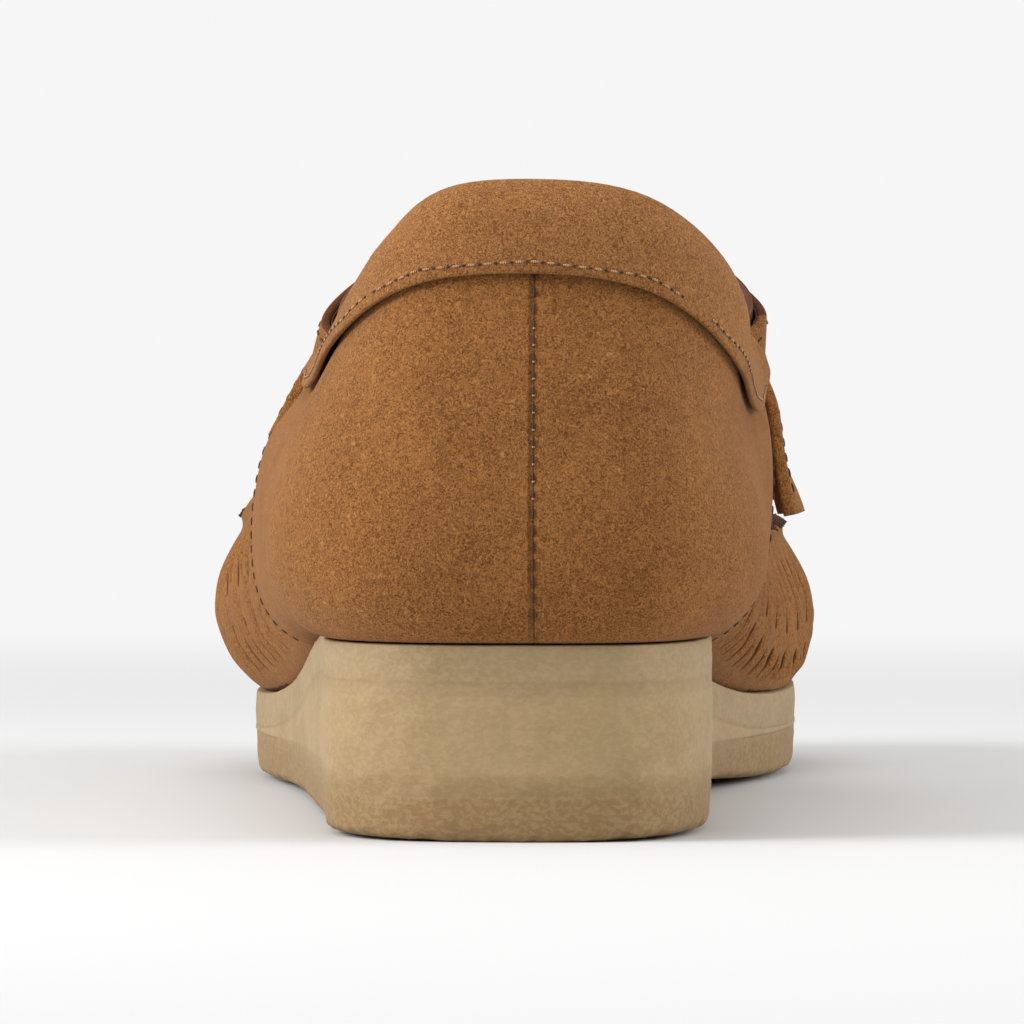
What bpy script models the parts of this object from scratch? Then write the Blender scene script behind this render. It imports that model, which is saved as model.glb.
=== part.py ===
"""Left woven loafer on a layered crepe sole. Metres, +Z up, heel to toe along +Y, medial side at +X.

The upper is one wall, worked out from a table of sections that runs once round the edge of the sole.
Each section gives the sole edge, the fullest line of the wall, its seam or shoulder line and the top edge.
The collar, tongue and strap are laid on that same wall.
"""

import math
from collections import namedtuple

import bmesh
import bpy
import numpy as np
from mathutils import Vector
from mathutils.bvhtree import BVHTree

# Overall sizes
LENGTH = 0.292
BALL_WIDTH = 0.097
WAIST_WIDTH = 0.066
HEEL_WIDTH = 0.062
OPENING_WIDTH = 0.080

# Sole
HEEL_HEIGHT = 0.032
OUTSOLE = 0.0090
MIDSOLE = 0.0062
TOE_SPRING = 0.009
ARCH = 0.0025
EDGE_ROUND = 0.0010
LAYER_CHAMFER = 0.0004
WEDGE_START = 0.15
WEDGE_RUNOUT = 0.67
WEDGE_FRONT = 0.585
SPRING_START = 0.74
ARCH_BACK = 0.30
ARCH_FRONT = 0.68

# Upper
WALL = 0.0018
PANEL = 0.0013
WALL_HEIGHT = 0.030
BULGE = 0.008
QUARTER_HEIGHT = 0.0705
EDGE_INSET = 0.0006
SEAM_RAISE = 0.0016
SEAM_WIDTH = 0.0036
QUARTER_FRONT = 0.325
QUARTER_LEAN = 0.028

# Weave
STRIP_PITCH = 0.0082
GAP_WIDTH = 0.0046
STRIP_RAISE = 0.0010

# Pieces laid on the upper
INSOLE = 0.0040
INSOLE_CROWN = 0.0010
COLLAR_BAND = 0.0125
COLLAR_LINING = 0.0135
COLLAR_SKIN = 0.0014
COLLAR_PAD = 0.0036
COLLAR_CREST = 0.0044
TONGUE = 0.0020
TONGUE_DEPTH = 0.024
TONGUE_RISE = 0.0050
TONGUE_MARGIN = 0.0040
STRAP = 0.0024
STRAP_WIDTH = 0.024
STRAP_PLACE = 0.520
STRAP_LIFT = 0.0018
STRAP_MEDIAL_END = math.radians(12)
STRAP_LATERAL_END = math.radians(152)

# The gap that touching pieces keep, and the wider one inside the folded cuff, whose facets twist
CLEAR = 0.0003
CUFF_CLEAR = 0.0007

# Counts
SOLE_LEVELS = 34
REAR_COLUMNS = 16
TONGUE_STATIONS = 22
STRAP_STATIONS = 27

FORE_HEIGHT = OUTSOLE + MIDSOLE + CLEAR

# Sections round the sole edge, from the centre of the back by the lateral side to the toe and home by the
# medial side. Widths are shares of the size named in the row. y is a share of LENGTH. An out is a share of
# BULGE, measured outwards from the sole edge. An up is a share of WALL_HEIGHT above the top of the sole.
# The top edge has its x as a share of OPENING_WIDTH and its up as a share of QUARTER_HEIGHT above the heel.
# sweep bends the way from seam to top edge: 1 is straight, and more makes the instep hollow.
Section = namedtuple(
    "Section", "width x y full_out full_up seam_out seam_up top_x top_y top_up sweep"
)
SECTIONS = (
    Section(HEEL_WIDTH, -0.016, 0.000, 0.62, 0.67, 0.19, 1.53, 0.000, 0.021, 1.018, 1.0),
    Section(HEEL_WIDTH, -0.375, 0.013, 0.90, 0.55, 0.12, 1.47, -0.246, 0.036, 0.972, 1.0),
    Section(HEEL_WIDTH, -0.525, 0.052, 1.02, 0.48, 0.19, 1.33, -0.325, 0.079, 0.850, 1.0),
    Section(HEEL_WIDTH, -0.572, 0.123, 1.09, 0.45, 0.38, 1.19, -0.368, 0.158, 0.755, 1.0),
    Section(WAIST_WIDTH, -0.580, 0.247, 1.12, 0.47, 0.62, 1.13, -0.390, 0.267, 0.690, 1.0),
    Section(WAIST_WIDTH, -0.640, 0.384, 1.05, 0.63, 0.58, 1.30, -0.425, 0.356, 0.676, 1.0),
    Section(BALL_WIDTH, -0.500, 0.548, 0.92, 0.72, 0.46, 1.20, -0.500, 0.400, 0.741, 1.45),
    Section(BALL_WIDTH, -0.572, 0.685, 0.88, 0.62, 0.22, 1.02, -0.375, 0.438, 0.870, 1.4),
    Section(BALL_WIDTH, -0.562, 0.805, 0.84, 0.58, 0.10, 0.97, -0.250, 0.455, 0.918, 1.55),
    Section(BALL_WIDTH, -0.454, 0.911, 0.82, 0.48, -0.06, 0.87, -0.144, 0.464, 0.938, 1.8),
    Section(BALL_WIDTH, -0.268, 0.976, 0.75, 0.43, -0.12, 0.82, -0.081, 0.467, 0.947, 2.0),
    Section(BALL_WIDTH, -0.031, 1.000, 0.69, 0.42, -0.19, 0.81, -0.031, 0.469, 0.950, 2.2),
    Section(BALL_WIDTH, 0.206, 0.968, 0.75, 0.43, -0.12, 0.82, 0.019, 0.467, 0.947, 2.0),
    Section(BALL_WIDTH, 0.371, 0.887, 0.72, 0.46, -0.12, 0.87, 0.081, 0.464, 0.938, 1.8),
    Section(BALL_WIDTH, 0.420, 0.784, 0.32, 0.42, -0.45, 0.93, 0.188, 0.455, 0.918, 1.55),
    Section(BALL_WIDTH, 0.388, 0.671, 0.25, 0.40, -0.45, 0.97, 0.325, 0.438, 0.870, 1.4),
    Section(BALL_WIDTH, 0.290, 0.520, 0.95, 0.60, 0.90, 1.36, 0.462, 0.400, 0.741, 1.2),
    Section(WAIST_WIDTH, 0.364, 0.384, 1.50, 0.66, 1.45, 1.34, 0.390, 0.356, 0.676, 1.0),
    Section(WAIST_WIDTH, 0.400, 0.253, 1.20, 0.47, 0.85, 1.13, 0.380, 0.267, 0.690, 1.0),
    Section(HEEL_WIDTH, 0.450, 0.145, 1.10, 0.45, 0.50, 1.19, 0.384, 0.158, 0.758, 1.0),
    Section(HEEL_WIDTH, 0.392, 0.052, 1.06, 0.48, 0.30, 1.33, 0.358, 0.079, 0.862, 1.0),
    Section(HEEL_WIDTH, 0.280, 0.013, 0.92, 0.55, 0.15, 1.47, 0.245, 0.036, 0.975, 1.0),
)
TOE = 11

# Where each control line of the wall lies between sole edge, fullest line, seam and top edge
LOW_OUT = 0.72
LOW_UP = 0.38
APRON_LINES = (0.25, 0.50, 0.75)
SEAM_LINE = 3
TOP_LINE = 7

# Rows of the woven band, counted in control lines up the wall. spread opens the gap between two strips,
# and over and under raise the strips that pass in front of and behind the ribbon.
Row = namedtuple("Row", "line spread over under")
LOW_GAP = (
    Row(0.44, 0.12, 0.5, 0.5),
    Row(0.92, 1.00, 1.1, 1.1),
    Row(1.36, 0.12, 1.0, -0.3),
)
RIBBON = Row(1.57, 0.08, 1.3, 0.5)
HIGH_GAP = (
    Row(1.78, 0.12, 1.0, -0.3),
    Row(2.20, 1.00, 1.1, 1.1),
    Row(2.64, 0.12, 0.5, 0.5),
)
APRON_ROWS = (4.2, 5.4, 6.4, 7.0)


def clamp(value):
    return min(1.0, max(0.0, value))


def ease(value):
    t = clamp(value)
    return t * t * (3 - 2 * t)


# Heights of the sole


def spring(y):
    start = SPRING_START * LENGTH
    return TOE_SPRING * max(0.0, (y - start) / (LENGTH - start)) ** 2


def arch(x, y):
    along = clamp((y / LENGTH - ARCH_BACK) / (ARCH_FRONT - ARCH_BACK))
    across = 0.15 + 0.85 * clamp(0.5 + x / BALL_WIDTH)
    return ARCH * math.sin(math.pi * along) ** 2 * across


def sole_top(y):
    fall = ease((y / LENGTH - WEDGE_START) / (WEDGE_RUNOUT - WEDGE_START))
    return HEEL_HEIGHT + (FORE_HEIGHT - HEEL_HEIGHT) * fall + spring(y)


def outsole_top(y):
    return OUTSOLE + spring(y)


def midsole_bottom(y):
    if y < WEDGE_FRONT * LENGTH:
        return sole_top(y) - MIDSOLE
    return outsole_top(y) + CLEAR


# A smooth closed curve through rows of numbers


class ClosedCurve:
    def __init__(self, knots, rows, period):
        self.knots = np.asarray(knots, float)
        self.rows = np.asarray(rows, float)
        self.period = period
        count = len(self.knots)
        step = np.diff(np.append(self.knots, self.knots[0] + period))
        rise = (np.roll(self.rows, -1, axis=0) - self.rows) / step[:, None]
        system = np.zeros((count, count))
        right = np.zeros_like(self.rows)
        for i in range(count):
            before = step[i - 1]
            after = step[i]
            system[i, (i - 1) % count] += after
            system[i, i] += 2 * (before + after)
            system[i, (i + 1) % count] += before
            right[i] = 3 * (after * rise[i - 1] + before * rise[i])
        self.slopes = np.linalg.solve(system, right)
        self.step = step

    def at(self, place):
        place = place % self.period
        i = int(np.searchsorted(self.knots, place, side="right")) - 1
        j = (i + 1) % len(self.knots)
        width = self.step[i]
        t = (place - self.knots[i]) / width
        return (
            (1 + 2 * t) * (1 - t) ** 2 * self.rows[i]
            + t * (1 - t) ** 2 * width * self.slopes[i]
            + t * t * (3 - 2 * t) * self.rows[j]
            + t * t * (t - 1) * width * self.slopes[j]
        )


def section_curve():
    edge = np.array([(s.x * s.width, s.y * LENGTH) for s in SECTIONS])
    chords = np.linalg.norm(np.roll(edge, -1, axis=0) - edge, axis=1)
    knots = np.concatenate([[0.0], np.cumsum(chords)[:-1]])
    rows = [
        (
            s.x * s.width,
            s.y * LENGTH,
            s.full_out * BULGE,
            s.full_up * WALL_HEIGHT,
            s.seam_out * BULGE,
            s.seam_up * WALL_HEIGHT,
            s.top_x * OPENING_WIDTH,
            s.top_y * LENGTH,
            HEEL_HEIGHT + s.top_up * QUARTER_HEIGHT,
            s.sweep,
        )
        for s in SECTIONS
    ]
    return ClosedCurve(knots, rows, float(chords.sum()))


CURVE = section_curve()
AROUND = CURVE.period
TOE_PLACE = float(CURVE.knots[TOE])
NUDGE = 1e-4


def edge_point(place, inset=0.0):
    """The sole edge in plan, moved inwards by inset, and its outward direction."""
    here = CURVE.at(place)[:2]
    along = CURVE.at(place + NUDGE)[:2] - CURVE.at(place - NUDGE)[:2]
    outward = np.array([-along[1], along[0]]) / np.linalg.norm(along)
    if outward @ (here - np.array([0.0, LENGTH / 2])) < 0:
        outward = -outward
    return here - inset * outward, outward


def place_at(y, lateral):
    """Where the sole edge reaches this y, on one side."""
    low, high = (0.0, TOE_PLACE) if lateral else (AROUND, TOE_PLACE)
    for _ in range(40):
        middle = (low + high) / 2
        if CURVE.at(middle)[1] < y:
            low = middle
        else:
            high = middle
    return (low + high) / 2


# The wall of the upper


def control_lines(place):
    """The points that one section of the wall runs through, from the sole edge to the top edge."""
    row = CURVE.at(place)
    full_out, full_up, seam_out, seam_up = row[2:6]
    top = row[6:9]
    sweep = row[9]
    foot, outward = edge_point(place, EDGE_INSET)
    edge = foot + EDGE_INSET * outward
    base = sole_top(foot[1]) + CLEAR
    full = np.array([*(edge + full_out * outward), base + full_up])
    seam = np.array([*(edge + seam_out * outward), base + seam_up])
    low = np.array([*(edge + LOW_OUT * full_out * outward), base + LOW_UP * full_up])
    points = [np.array([*foot, base]), low, full, seam]
    for share in APRON_LINES:
        point = seam + share * (top - seam)
        point[2] = seam[2] + (top[2] - seam[2]) * share**sweep
        points.append(point)
    points.append(top)
    return np.array(points)


def wall_point(place, line):
    """The smooth outer face of the wall, at a number of control lines above the sole."""
    points = control_lines(place)
    spans = np.linalg.norm(np.diff(points, axis=0), axis=1)
    slopes = np.diff(points, axis=0) / spans[:, None]
    i = min(int(line), TOP_LINE - 1)
    t = line - i

    def tangent(k):
        if k == 0:
            return slopes[0]
        if k == TOP_LINE:
            return slopes[-1]
        total = spans[k - 1] + spans[k]
        return (spans[k] * slopes[k - 1] + spans[k - 1] * slopes[k]) / total

    width = spans[i]
    return (
        (1 + 2 * t) * (1 - t) ** 2 * points[i]
        + t * (1 - t) ** 2 * width * tangent(i)
        + t * t * (3 - 2 * t) * points[i + 1]
        + t * t * (t - 1) * width * tangent(i + 1)
    )


def wall_frame(place, line):
    """The point on the wall, its outward normal and its upward direction."""
    small = 0.01
    here = wall_point(place, line)
    high = min(line + small, float(TOP_LINE))
    upward = wall_point(place, high) - wall_point(place, high - 2 * small if high > small else 0.0)
    along = wall_point(place + 0.0005, line) - wall_point(place - 0.0005, line)
    normal = np.cross(upward, along)
    normal /= np.linalg.norm(normal)
    return here, normal, upward / np.linalg.norm(upward)


def line_below_top(place, distance):
    """The control line that lies this far down the wall from the top edge, at most as far as the seam."""
    lines = np.linspace(TOP_LINE, SEAM_LINE + 0.15, 25)
    points = np.array([wall_point(place, line) for line in lines])
    down = np.concatenate([[0.0], np.cumsum(np.linalg.norm(np.diff(points, axis=0), axis=1))])
    return float(np.interp(distance, down, lines))


def laid_on(place, distance, offset):
    """A point at this distance below the top edge, off the flat facets between the rows of the wall."""
    line = line_below_top(place, distance)
    rows = (float(SEAM_LINE), seam_row(+1), *APRON_ROWS)
    i = min(int(np.searchsorted(rows, line, side="right")) - 1, len(rows) - 2)
    share = (line - rows[i]) / (rows[i + 1] - rows[i])
    ends = []
    for row in rows[i : i + 2]:
        here, normal, _ = wall_frame(place, row)
        ends.append(here + offset * normal)
    return ends[0] + share * (ends[1] - ends[0])


def seam_row(side):
    """The control line just below (-1) or above (+1) the raised seam, worked out at the ball."""
    ball = float(CURVE.knots[7])
    points = control_lines(ball)
    span = np.linalg.norm(points[SEAM_LINE + (side > 0)] - points[SEAM_LINE - (side < 0)])
    return SEAM_LINE + side * SEAM_WIDTH / 2 / span


# Columns of the upper, which lean forwards with the front edge of the quarters


def front_edges(line):
    lean = QUARTER_LEAN * clamp(line / SEAM_LINE)
    y = QUARTER_FRONT * LENGTH
    return place_at(y, True) + lean, place_at(y, False) - lean


def strip_count():
    start, end = front_edges(0.0)
    return 2 * round((end - start) / STRIP_PITCH / 2)


Column = namedtuple("Column", "key kind index share")


def columns(kinds):
    """Columns once round the upper. The key orders them, and share is the place within its stretch."""
    strips = strip_count()
    found = [Column(j / REAR_COLUMNS, "rear", j, j / REAR_COLUMNS) for j in range(REAR_COLUMNS + 1)]
    found.append(Column(1.001, "start", 0, 0.0))
    for k in range(strips):
        middle = (k + 0.5) / strips
        if "gap" in kinds:
            found.append(Column(1 + middle - 0.2 / strips, "left", k, middle))
            found.append(Column(1 + middle + 0.2 / strips, "right", k, middle))
        if "strip" in kinds and k < strips - 1:
            share = (k + 1.0) / strips
            found.append(Column(1 + share, "strip", k, share))
    found.append(Column(1.999, "end", 0, 1.0))
    for j in range(REAR_COLUMNS, 0, -1):
        found.append(Column(3 - j / REAR_COLUMNS, "back", j, j / REAR_COLUMNS))
    return found


def column_place(column, line, spread):
    first, last = front_edges(line)
    if column.kind == "rear":
        return first * column.share
    if column.kind == "back":
        return AROUND - (AROUND - last) * column.share
    first += PANEL / 2
    last -= PANEL / 2
    place = first + (last - first) * column.share
    if column.kind == "left":
        place -= spread * GAP_WIDTH / 2
    if column.kind == "right":
        place += spread * GAP_WIDTH / 2
    return place


def seam_height(place):
    """The moccasin seam stands proud along the vamp and sinks away towards the quarters."""
    y = CURVE.at(place)[1] / LENGTH
    return SEAM_RAISE * ease((y - 0.50) / 0.14)


def build_upper(finish):
    mesh = bmesh.new()
    fine = columns(("gap", "strip"))
    inner_fine = columns(("gap",))
    coarse = columns(("strip",))

    def ring(cols, line, spread=0.0, relief=None, depth=None):
        made = []
        for column in cols:
            place = column_place(column, line, spread)
            here, normal, _ = wall_frame(place, line)
            if line == 0:
                normal = np.array([*edge_point(place)[1], 0.0])
            if depth is not None:
                offset = -depth
            else:
                offset = PANEL if column.kind in ("rear", "back") else 0.0
                if relief:
                    offset += relief(column, place)
            made.append((column, mesh.verts.new(Vector(here + offset * normal))))
        return made

    def woven(row):
        def relief(column, place):
            if column.kind != "strip":
                return 0.0
            return STRIP_RAISE * (row.over if column.index % 2 else row.under)

        return relief

    def seam(column, place):
        return seam_height(place) if column.kind in ("strip", "start", "end") else 0.0

    outer = [ring(coarse, 0.0)]
    outer += [ring(fine, row.line, row.spread, woven(row)) for row in (*LOW_GAP, RIBBON, *HIGH_GAP)]
    outer.append(ring(coarse, seam_row(-1)))
    outer.append(ring(coarse, float(SEAM_LINE), 0.0, seam))
    outer.append(ring(coarse, seam_row(+1)))
    outer += [ring(coarse, line) for line in APRON_ROWS]
    inner = [ring(coarse, 0.0, depth=WALL)]
    inner += [ring(inner_fine, row.line, row.spread, depth=WALL) for row in (*LOW_GAP, *HIGH_GAP)]
    inner.append(ring(coarse, float(SEAM_LINE), depth=WALL))
    inner += [ring(coarse, line, depth=WALL) for line in APRON_ROWS]

    def bridge(low, high, gaps=False):
        if len(low) == len(high):
            for i in range(len(low)):
                j = (i + 1) % len(low)
                if gaps and low[i][0].kind == "left":
                    continue
                mesh.faces.new((low[i][1], low[j][1], high[j][1], high[i][1]))
            return
        i = j = 0
        low_keys = [c.key for c, _ in low] + [3.0]
        high_keys = [c.key for c, _ in high] + [3.0]
        while i < len(low) or j < len(high):
            a = low[i % len(low)][1]
            b = high[j % len(high)][1]
            if j == len(high) or (i < len(low) and low_keys[i + 1] <= high_keys[j + 1]):
                i += 1
                mesh.faces.new((a, low[i % len(low)][1], b))
            else:
                j += 1
                mesh.faces.new((a, high[j % len(high)][1], b))

    for n in range(len(outer) - 1):
        bridge(outer[n], outer[n + 1], gaps=n in (1, 2, 5, 6))
    for n in range(len(inner) - 1):
        bridge(inner[n], inner[n + 1], gaps=n in (1, 2, 4, 5))
    bridge(outer[0], inner[0])
    bridge(outer[-1], inner[-1])

    def pick(row, kind, index):
        return next(v for c, v in row if c.kind == kind and c.index == index)

    for k in range(strip_count()):
        for out_rows, in_rows in ((outer[1:4], inner[1:4]), (outer[5:8], inner[4:7])):
            loops = []
            for rows in (out_rows, in_rows):
                left = [pick(row, "left", k) for row in rows]
                right = [pick(row, "right", k) for row in rows]
                loops.append(left + right[::-1])
            for n in range(6):
                m = (n + 1) % 6
                mesh.faces.new((loops[0][n], loops[0][m], loops[1][m], loops[1][n]))
    return finish_mesh("upper", mesh, finish)


# Making objects


def finish_mesh(name, mesh, finish):
    bmesh.ops.recalc_face_normals(mesh, faces=mesh.faces[:])
    data = bpy.data.meshes.new(name)
    mesh.to_mesh(data)
    mesh.free()
    data.materials.append(finish)
    data.shade_smooth()
    data.set_sharp_from_angle(angle=math.radians(38))
    made = bpy.data.objects.new(name, data)
    bpy.context.scene.collection.objects.link(made)
    return made


def material(name, colour, roughness):
    made = bpy.data.materials.new(name)
    made.use_nodes = True
    shader = made.node_tree.nodes["Principled BSDF"]
    shader.inputs["Base Color"].default_value = (*colour, 1.0)
    shader.inputs["Roughness"].default_value = roughness
    shader.inputs["Metallic"].default_value = 0.0
    return made


def loft(name, sections, finish):
    """Closed outlines of one count joined in turn, with both ends filled."""
    mesh = bmesh.new()
    rings = [[mesh.verts.new(Vector(point)) for point in section] for section in sections]
    count = len(rings[0])
    for first, second in zip(rings, rings[1:]):
        for i in range(count):
            j = (i + 1) % count
            mesh.faces.new((first[i], first[j], second[j], second[i]))
    mesh.faces.new(rings[0][::-1])
    mesh.faces.new(rings[-1])
    return finish_mesh(name, mesh, finish)


# Sole layers and insole


def sole_levels(front):
    """Steps of y, close together at both ends, and a close pair where the heel wedge stops."""
    ys = [LENGTH * (1 - math.cos(math.pi * i / SOLE_LEVELS)) / 2 for i in range(1, SOLE_LEVELS)]
    stop = WEDGE_FRONT * LENGTH
    ys = [y for y in ys if abs(y - stop) > 0.002 and y < front]
    if front < stop:
        ys = [y for y in ys if y < front - 0.001] + [front]
    else:
        ys += [stop - CLEAR / 2, stop + CLEAR / 2]
    return sorted(ys)


def layer(name, bottom, top, profile, finish, front=LENGTH, crown=0.0):
    """A layer of the sole. profile lists (share of thickness, inset from the sole edge), bottom to top."""
    ys = sole_levels(front)
    places = [0.0] + [place_at(y, True) for y in ys]
    if front == LENGTH:
        places.append(TOE_PLACE)
    places += [place_at(y, False) for y in reversed(ys)]
    mesh = bmesh.new()
    rings = []
    for share, inset in profile:
        ring = []
        for place in places:
            (x, y), _ = edge_point(place, inset)
            low = bottom(x, y)
            ring.append(mesh.verts.new((x, y, low + share * (top(x, y) - low))))
        rings.append(ring)
    count = len(places)
    for first, second in zip(rings, rings[1:]):
        for i in range(count):
            j = (i + 1) % count
            mesh.faces.new((first[i], first[j], second[j], second[i]))
    for ring in (rings[0], rings[-1]):
        mesh.faces.new((ring[0], ring[1], ring[-1]))
        low = 1
        high = count - 1
        while high - low > 2:
            mesh.faces.new((ring[low], ring[low + 1], ring[high - 1], ring[high]))
            low += 1
            high -= 1
        if high - low == 2:
            mesh.faces.new((ring[low], ring[low + 1], ring[high]))
    return finish_mesh(name, mesh, finish)


def build_sole(finish, lining):
    outsole = layer(
        "outsole",
        lambda x, y: spring(y) + arch(x, y),
        lambda x, y: outsole_top(y),
        (
            (0.0, EDGE_ROUND),
            (EDGE_ROUND / OUTSOLE, 0.0),
            (1 - LAYER_CHAMFER / OUTSOLE, 0.0),
            (1.0, LAYER_CHAMFER),
        ),
        finish,
    )
    wedge = layer(
        "heel_wedge",
        lambda x, y: outsole_top(y) + CLEAR,
        lambda x, y: sole_top(y) - MIDSOLE - CLEAR,
        ((0.0, LAYER_CHAMFER), (0.1, 0.0), (0.9, 0.0), (1.0, LAYER_CHAMFER)),
        finish,
        front=WEDGE_FRONT * LENGTH - CLEAR,
    )
    midsole = layer(
        "midsole",
        lambda x, y: midsole_bottom(y),
        lambda x, y: sole_top(y),
        ((0.0, LAYER_CHAMFER), (0.1, 0.0), (0.9, 0.0), (1.0, LAYER_CHAMFER)),
        finish,
    )
    seat = EDGE_INSET + WALL + 2 * CLEAR
    insole = layer(
        "insole",
        lambda x, y: sole_top(y) + CLEAR,
        lambda x, y: sole_top(y) + CLEAR + INSOLE,
        ((0.0, seat), (0.75, seat), (1.0, seat + INSOLE_CROWN)),
        lining,
    )
    return [outsole, wedge, midsole, insole]


# Collar: a padded cuff folded over the top edge of the quarters


def build_collar(finish):
    rear = [c for c in columns(()) if c.kind in ("rear", "back")]
    places = [column_place(c, float(TOP_LINE), 0.0) for c in rear]
    places = places[REAR_COLUMNS + 1 :] + places[: REAR_COLUMNS + 1]
    outside = PANEL + CUFF_CLEAR
    inside = -WALL - CUFF_CLEAR
    sections = []
    for n, place in enumerate(places):
        share = n / (len(places) - 1)
        full = 0.65 + 0.35 * ease(min(share, 1 - share) / 0.10)
        band = COLLAR_BAND * (0.80 + 0.20 * ease(min(share, 1 - share) / 0.15))

        def off(distance, offset):
            return laid_on(place, distance, offset)

        top, normal, upward = wall_frame(place, float(TOP_LINE))
        skin = COLLAR_SKIN
        pad = COLLAR_PAD * full
        crest = COLLAR_CREST * full
        centre = (outside + inside) / 2
        sections.append(
            [
                off(band, outside),
                off(band * 1.02, outside + 0.7 * skin),
                off(band * 0.90, outside + 1.05 * skin),
                off(band * 0.75, outside + 1.10 * skin),
                off(band * 0.50, outside + 1.15 * skin),
                off(band * 0.25, outside + 1.10 * skin),
                off(band * 0.08, outside + 0.85 * skin),
                top + (centre + 0.65 * (outside - centre)) * normal + 0.78 * crest * upward,
                top + centre * normal + crest * upward,
                top + (centre + 0.9 * (inside - centre)) * normal + 0.75 * crest * upward,
                off(COLLAR_LINING * 0.06, inside - 0.75 * pad),
                off(COLLAR_LINING * 0.45, inside - pad),
                off(COLLAR_LINING * 0.85, inside - 0.7 * pad),
                off(COLLAR_LINING, inside - 0.2 * pad),
                off(COLLAR_LINING, inside),
                off(COLLAR_LINING * 0.7, inside),
                off(COLLAR_LINING * 0.35, inside),
                top + inside * normal + CUFF_CLEAR * upward,
                top + outside * normal + CUFF_CLEAR * upward,
                off(band * 0.25, outside),
                off(band * 0.5, outside),
                off(band * 0.75, outside),
            ]
        )
    return loft("collar", sections, finish)


# Tongue: the lined throat piece under the apron, standing a little above its edge


def build_tongue(finish):
    first, last = front_edges(float(TOP_LINE))
    outside = -WALL - CLEAR
    inside = outside - TONGUE
    sections = []
    for n in range(TONGUE_STATIONS + 1):
        share = n / TONGUE_STATIONS
        place = first + TONGUE_MARGIN + share * (last - first - 2 * TONGUE_MARGIN)
        full = ease(min(share, 1 - share) / 0.12)
        depth = TONGUE_DEPTH * (0.35 + 0.65 * full)
        rise = TONGUE_RISE * (0.25 + 0.75 * full)
        outer = []
        inner = []
        for step in (1.0, 0.5, 0.0):
            outer.append(laid_on(place, depth * step, outside))
            inner.append(laid_on(place, depth * step, inside))
        top, normal, upward = wall_frame(place, float(TOP_LINE))
        outer.append(top + outside * normal + rise * upward)
        inner.append(top + inside * normal + rise * upward)
        sections.append(outer + inner[::-1])
    return loft("tongue", sections, finish)


# Saddle strap: a band over the instep, standing off the wall at its ends


def build_strap(finish, upper):
    tree = BVHTree.FromPolygons(
        [v.co for v in upper.data.vertices], [p.vertices for p in upper.data.polygons]
    )
    middle = STRAP_PLACE * LENGTH
    heart = Vector((-0.06 * BALL_WIDTH, 0.0, HEEL_HEIGHT + 0.1 * QUARTER_HEIGHT))

    def reach(y, angle):
        """How far out the wall is, or over a gap, the strips on both sides of it."""
        ray = Vector((math.cos(angle), 0.0, math.sin(angle)))
        for aside in (0.0, GAP_WIDTH, 2 * GAP_WIDTH):
            found = []
            for at in (y - aside, y + aside):
                start = Vector((heart.x, at, heart.z))
                hit = tree.ray_cast(start + ray * BALL_WIDTH, -ray)[0]
                if hit:
                    found.append((hit - start).length)
            if len(found) == 2:
                return max(found)
        raise ValueError("the strap has no wall under it")

    def radius(y, angle):
        return max(reach(y, angle + tilt) for tilt in (-0.04, -0.02, 0.0, 0.02, 0.04))

    sections = []
    for n in range(STRAP_STATIONS + 1):
        share = n / STRAP_STATIONS
        angle = STRAP_MEDIAL_END + share * (STRAP_LATERAL_END - STRAP_MEDIAL_END)
        ray = Vector((math.cos(angle), 0.0, math.sin(angle)))
        lift = 1.6 * CLEAR + STRAP_LIFT * (1 - ease(share / 0.16))
        loop = []
        for thick, steps in ((STRAP, (-0.46, 0.0, 0.46)), (0.0, (0.5, 0.0, -0.5))):
            for step in steps:
                y = middle + step * STRAP_WIDTH
                centre = Vector((heart.x, y, heart.z))
                loop.append(centre + ray * (radius(y, angle) + lift + thick))
        sections.append(loop)
    return loft("saddle_strap", sections, finish)


def stand_on_floor(parts):
    """Hangs every piece on one empty, with the origin under the middle of the shoe's box."""
    corners = np.array([v.co[:] for part in parts for v in part.data.vertices])
    low = corners.min(axis=0)
    high = corners.max(axis=0)
    shoe = bpy.data.objects.new("loafer", None)
    bpy.context.scene.collection.objects.link(shoe)
    shoe.location = (-(low[0] + high[0]) / 2, -(low[1] + high[1]) / 2, -low[2])
    for part in parts:
        part.parent = shoe


def main():
    for old in list(bpy.data.objects):
        bpy.data.objects.remove(old, do_unlink=True)
    suede = material("tan_suede", (0.34, 0.17, 0.07), 0.95)
    cuff = material("cuff_suede", (0.30, 0.15, 0.06), 0.95)
    crepe = material("crepe_rubber", (0.47, 0.35, 0.20), 0.6)
    lining = material("brown_lining", (0.12, 0.045, 0.015), 0.45)
    parts = build_sole(crepe, lining)
    upper = build_upper(suede)
    parts.append(upper)
    parts.append(build_collar(cuff))
    parts.append(build_tongue(lining))
    parts.append(build_strap(suede, upper))
    stand_on_floor(parts)


main()
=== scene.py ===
# %% [markdown]
# # The looks of a left woven loafer
#
# The solid shoe is already built at its real size. This script loads it and dresses it: napped suede, a
# brown leather lining behind the weave, crepe rubber, thread and a plain studio floor. Lengths are metres,
# the heel points at -Y, the toe at +Y and the medial side of the foot at +X.

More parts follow.
